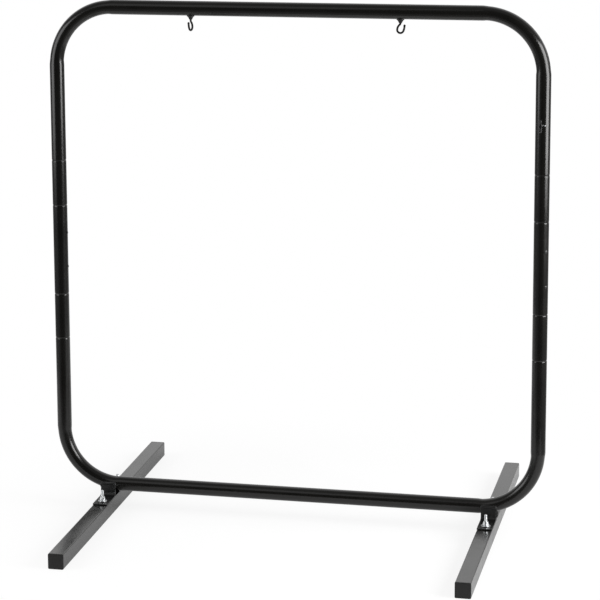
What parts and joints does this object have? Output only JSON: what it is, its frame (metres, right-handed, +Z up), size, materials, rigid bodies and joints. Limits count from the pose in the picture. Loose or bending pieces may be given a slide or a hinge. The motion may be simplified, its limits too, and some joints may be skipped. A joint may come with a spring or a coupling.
{
  "type": "gong stand",
  "caption": "Round-cornered steel tube frame with hanging hooks for a gong, standing on bolted square-tube feet.",
  "frame": {"origin": "on the floor, in the middle between the feet and under the frame's plane", "axes": "+Z up, +X to the right seen from the front, +Y to the back"},
  "size_m": [1.302, 1.0086, 1.37],
  "materials": {
    "tube_paint": "gloss black powder coat",
    "foot_paint": "satin black powder coat",
    "plate_paint": "gloss black paint",
    "hook_paint": "black coated steel rod",
    "cap_plastic": "moulded black plastic",
    "zinc": "bright zinc plated",
    "black_steel": "blackened spring steel",
    "spring_steel": "plain spring steel",
    "spigot_steel": "plain drawn steel tube"
  },
  "bodies": {
    "stand": {"upper_frame_tube": "tube_paint", "lower_frame_tube": "tube_paint", "left_joint_sleeve": "tube_paint", "left_upper_spigot": "spigot_steel", "left_upper_button_spring": "spring_steel", "left_lower_spigot": "spigot_steel", "left_lower_button_spring": "spring_steel", "left_foot_tube": "foot_paint", "left_front_end_cap": "cap_plastic", "left_front_bracket": "plate_paint", "left_front_carriage_bolt": "zinc", "left_front_washer": "zinc", "left_rear_end_cap": "cap_plastic", "left_rear_bracket": "plate_paint", "left_rear_carriage_bolt": "zinc", "left_rear_washer": "zinc", "left_hook_ferrule": "cap_plastic", "left_hook_nut": "zinc", "right_joint_sleeve": "tube_paint", "right_upper_spigot": "spigot_steel", "right_upper_button_spring": "spring_steel", "right_lower_spigot": "spigot_steel", "right_lower_button_spring": "spring_steel", "right_foot_tube": "foot_paint", "right_front_end_cap": "cap_plastic", "right_front_bracket": "plate_paint", "right_front_carriage_bolt": "zinc", "right_front_washer": "zinc", "right_rear_end_cap": "cap_plastic", "right_rear_bracket": "plate_paint", "right_rear_carriage_bolt": "zinc", "right_rear_washer": "zinc", "right_hook_ferrule": "cap_plastic", "right_hook_nut": "zinc", "knob_insert": "zinc", "insert_rivet": "zinc"},
    "left_upper_button": {"left_upper_snap_button": "black_steel"},
    "left_lower_button": {"left_lower_snap_button": "black_steel"},
    "right_upper_button": {"right_upper_snap_button": "black_steel"},
    "right_lower_button": {"right_lower_snap_button": "black_steel"},
    "left_front_nut": {"left_front_wing_nut": "zinc"},
    "left_rear_nut": {"left_rear_wing_nut": "zinc"},
    "right_front_nut": {"right_front_wing_nut": "zinc"},
    "right_rear_nut": {"right_rear_wing_nut": "zinc"},
    "left_gong_hook": {"left_hook": "hook_paint"},
    "right_gong_hook": {"right_hook": "hook_paint"},
    "knob": {"wing_knob": "cap_plastic"}
  },
  "joints": [
    {"name": "left_upper_button_press", "type": "slide", "parent": "stand", "child": "left_upper_button", "axis": [-0.9925, 0.1219, 0], "range_m": [0, 0.0045], "stiffness_N_per_m": 1800, "springref_m": -0.002},
    {"name": "left_lower_button_press", "type": "slide", "parent": "stand", "child": "left_lower_button", "axis": [-0.9925, 0.1219, 0], "range_m": [0, 0.0045], "stiffness_N_per_m": 1800, "springref_m": -0.002},
    {"name": "right_upper_button_press", "type": "slide", "parent": "stand", "child": "right_upper_button", "axis": [-0.7314, 0.682, 0], "range_m": [0, 0.0045], "stiffness_N_per_m": 1800, "springref_m": -0.002},
    {"name": "right_lower_button_press", "type": "slide", "parent": "stand", "child": "right_lower_button", "axis": [-0.7314, 0.682, 0], "range_m": [0, 0.0045], "stiffness_N_per_m": 1800, "springref_m": -0.002},
    {"name": "left_front_nut_turn", "type": "hinge", "parent": "stand", "child": "left_front_nut", "pos_m": [-0.509, -0.075, 0.0556], "axis": [0, 0, 1], "continuous": true},
    {"name": "left_rear_nut_turn", "type": "hinge", "parent": "stand", "child": "left_rear_nut", "pos_m": [-0.509, 0.075, 0.0556], "axis": [0, 0, 1], "continuous": true},
    {"name": "right_front_nut_turn", "type": "hinge", "parent": "stand", "child": "right_front_nut", "pos_m": [0.509, -0.075, 0.0556], "axis": [0, 0, 1], "continuous": true},
    {"name": "right_rear_nut_turn", "type": "hinge", "parent": "stand", "child": "right_rear_nut", "pos_m": [0.509, 0.075, 0.0556], "axis": [0, 0, 1], "continuous": true},
    {"name": "left_gong_hook_swivel", "type": "hinge", "parent": "stand", "child": "left_gong_hook", "pos_m": [-0.2715, 0, 1.322], "axis": [0, 0, 1], "continuous": true},
    {"name": "right_gong_hook_swivel", "type": "hinge", "parent": "stand", "child": "right_gong_hook", "pos_m": [0.2715, 0, 1.322], "axis": [0, 0, 1], "continuous": true},
    {"name": "knob_turn", "type": "hinge", "parent": "stand", "child": "knob", "pos_m": [0.632, 0, 1.0735], "axis": [-0.1045, -0.9945, 0], "continuous": true}
  ]
}
